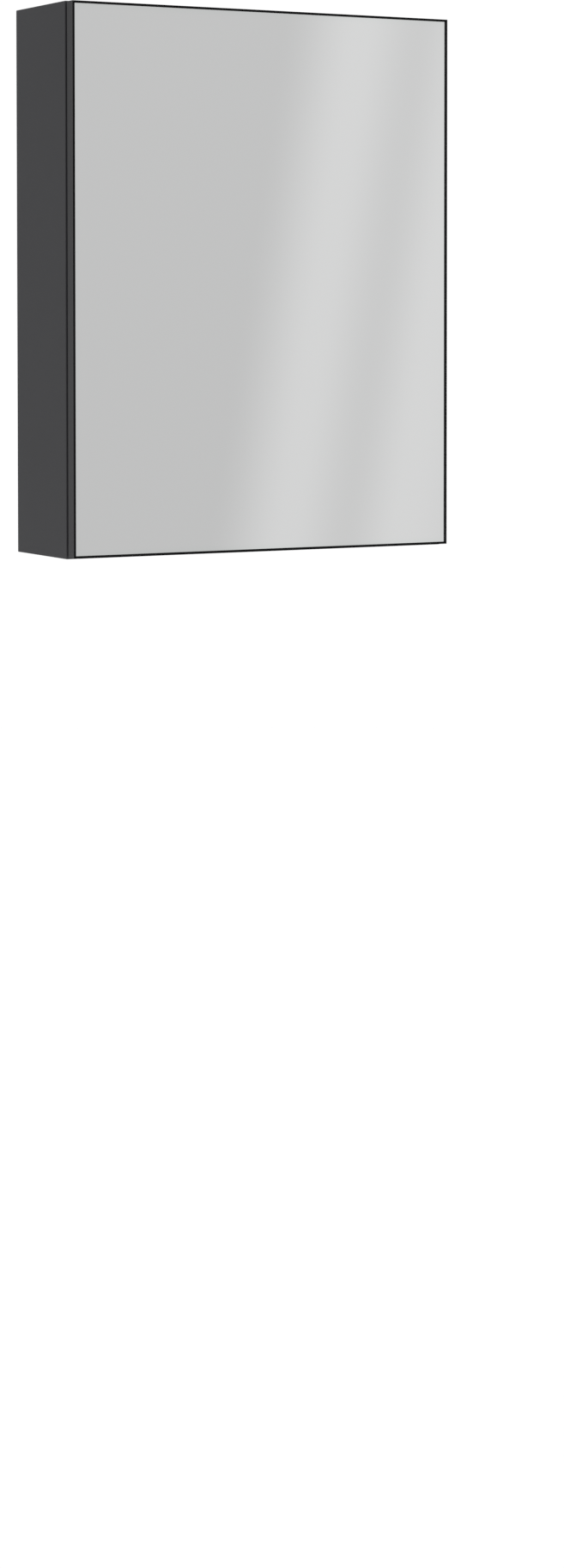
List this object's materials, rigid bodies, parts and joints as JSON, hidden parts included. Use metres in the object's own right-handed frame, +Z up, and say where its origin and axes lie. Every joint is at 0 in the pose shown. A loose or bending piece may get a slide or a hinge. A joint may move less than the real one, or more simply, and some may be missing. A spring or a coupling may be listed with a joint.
{
  "type": "medicine cabinet with mirror",
  "caption": "Shallow wall-hung bathroom cabinet in dark board with a full-height mirrored door, glass shelves, concealed hinges and a push latch.",
  "frame": {"origin": "centre of the rear face of the hanging rail, on the wall plane", "axes": "+Z up, +Y into the wall. The mirrored door faces -Y, and +X is to the right of someone facing it."},
  "size_m": [0.55, 0.17, 0.7],
  "materials": {
    "anthracite_board": "fine-textured anthracite melamine on particle board",
    "rail_board": "raw particle board",
    "black_aluminium": "satin black anodised",
    "mirror": "silvered float glass",
    "shelf_glass": "clear float glass with ground edges",
    "nickel_steel": "nickel-plated pressed steel",
    "grey_plastic": "fine moulded grain",
    "clear_rubber": "translucent soft polyurethane"
  },
  "bodies": {
    "cabinet": {"side_panel_left": "anthracite_board", "side_panel_right": "anthracite_board", "top_panel": "anthracite_board", "bottom_panel": "anthracite_board", "back_panel": "anthracite_board", "hanging_rail": "rail_board", "lower_rail": "rail_board", "hanger_block_left": "nickel_steel", "hanger_block_right": "nickel_steel", "hanger_hook_left": "nickel_steel", "hanger_hook_right": "nickel_steel", "hanger_cap_left": "grey_plastic", "hanger_cap_right": "grey_plastic", "wall_plate_left": "nickel_steel", "wall_plate_right": "nickel_steel", "wall_screw_left": "nickel_steel", "wall_screw_right": "nickel_steel", "glass_shelf_lower": "shelf_glass", "glass_shelf_upper": "shelf_glass", "shelf_pin_lower_left_front": "nickel_steel", "shelf_pin_lower_left_rear": "nickel_steel", "shelf_pin_lower_right_front": "nickel_steel", "shelf_pin_lower_right_rear": "nickel_steel", "shelf_pin_upper_left_front": "nickel_steel", "shelf_pin_upper_left_rear": "nickel_steel", "shelf_pin_upper_right_front": "nickel_steel", "shelf_pin_upper_right_rear": "nickel_steel", "hinge_plate_lower": "nickel_steel", "hinge_plate_upper": "nickel_steel", "plate_screw_lower_low": "nickel_steel", "plate_screw_lower_high": "nickel_steel", "plate_screw_upper_low": "nickel_steel", "plate_screw_upper_high": "nickel_steel", "hinge_arm_lower": "nickel_steel", "hinge_arm_upper": "nickel_steel", "hinge_cover_lower": "grey_plastic", "hinge_cover_upper": "grey_plastic", "latch_housing": "grey_plastic", "latch_screw_low": "nickel_steel", "latch_screw_high": "nickel_steel"},
    "outer_link_upper": {"hinge_link_outer_upper": "nickel_steel"},
    "outer_link_lower": {"hinge_link_outer_lower": "nickel_steel"},
    "inner_link_upper": {"hinge_link_inner_upper": "nickel_steel"},
    "inner_link_lower": {"hinge_link_inner_lower": "nickel_steel"},
    "door": {"door_frame_left": "black_aluminium", "door_frame_right": "black_aluminium", "door_frame_top": "black_aluminium", "door_frame_bottom": "black_aluminium", "mirror_glass": "mirror", "door_board": "anthracite_board", "hinge_cup_lower": "nickel_steel", "hinge_cup_upper": "nickel_steel", "cup_screw_lower_low": "nickel_steel", "cup_screw_lower_high": "nickel_steel", "cup_screw_upper_low": "nickel_steel", "cup_screw_upper_high": "nickel_steel", "strike_plate": "nickel_steel", "door_bumper_lower": "clear_rubber", "door_bumper_upper": "clear_rubber"},
    "latch_plunger": {"latch_plunger": "grey_plastic"}
  },
  "joints": [
    {"name": "outer_link_upper_swing", "type": "hinge", "parent": "cabinet", "child": "outer_link_upper", "pos_m": [0.247, -0.147, -0.0487], "axis": [0, 0, 1], "range_deg": [-38.5, 0.5]},
    {"name": "door_open", "type": "hinge", "parent": "outer_link_upper", "child": "door", "pos_m": [0.264, -0.156, -0.3037], "axis": [0, 0, 1], "range_deg": [0, 142.8]},
    {"name": "outer_link_lower_swing", "type": "hinge", "parent": "cabinet", "child": "outer_link_lower", "pos_m": [0.247, -0.147, -0.5587], "axis": [0, 0, 1], "range_deg": [-38.5, 0.5]},
    {"name": "inner_link_upper_swing", "type": "hinge", "parent": "cabinet", "child": "inner_link_upper", "pos_m": [0.2375, -0.139, -0.0487], "axis": [0, 0, 1], "range_deg": [-12, 0.5]},
    {"name": "inner_link_lower_swing", "type": "hinge", "parent": "cabinet", "child": "inner_link_lower", "pos_m": [0.2375, -0.139, -0.5587], "axis": [0, 0, 1], "range_deg": [-12, 0.5]},
    {"name": "latch_plunger_press", "type": "slide", "parent": "cabinet", "child": "latch_plunger", "axis": [0, 1, 0], "range_m": [0, 0.0025], "stiffness_N_per_m": 400}
  ],
  "couplings": [
    {"joint": "outer_link_upper_swing", "follows": "door_open", "ratio": -0.26471},
    {"joint": "outer_link_lower_swing", "follows": "door_open", "ratio": -0.26471},
    {"joint": "inner_link_upper_swing", "follows": "door_open", "ratio": -0.080882},
    {"joint": "inner_link_lower_swing", "follows": "door_open", "ratio": -0.080882}
  ]
}
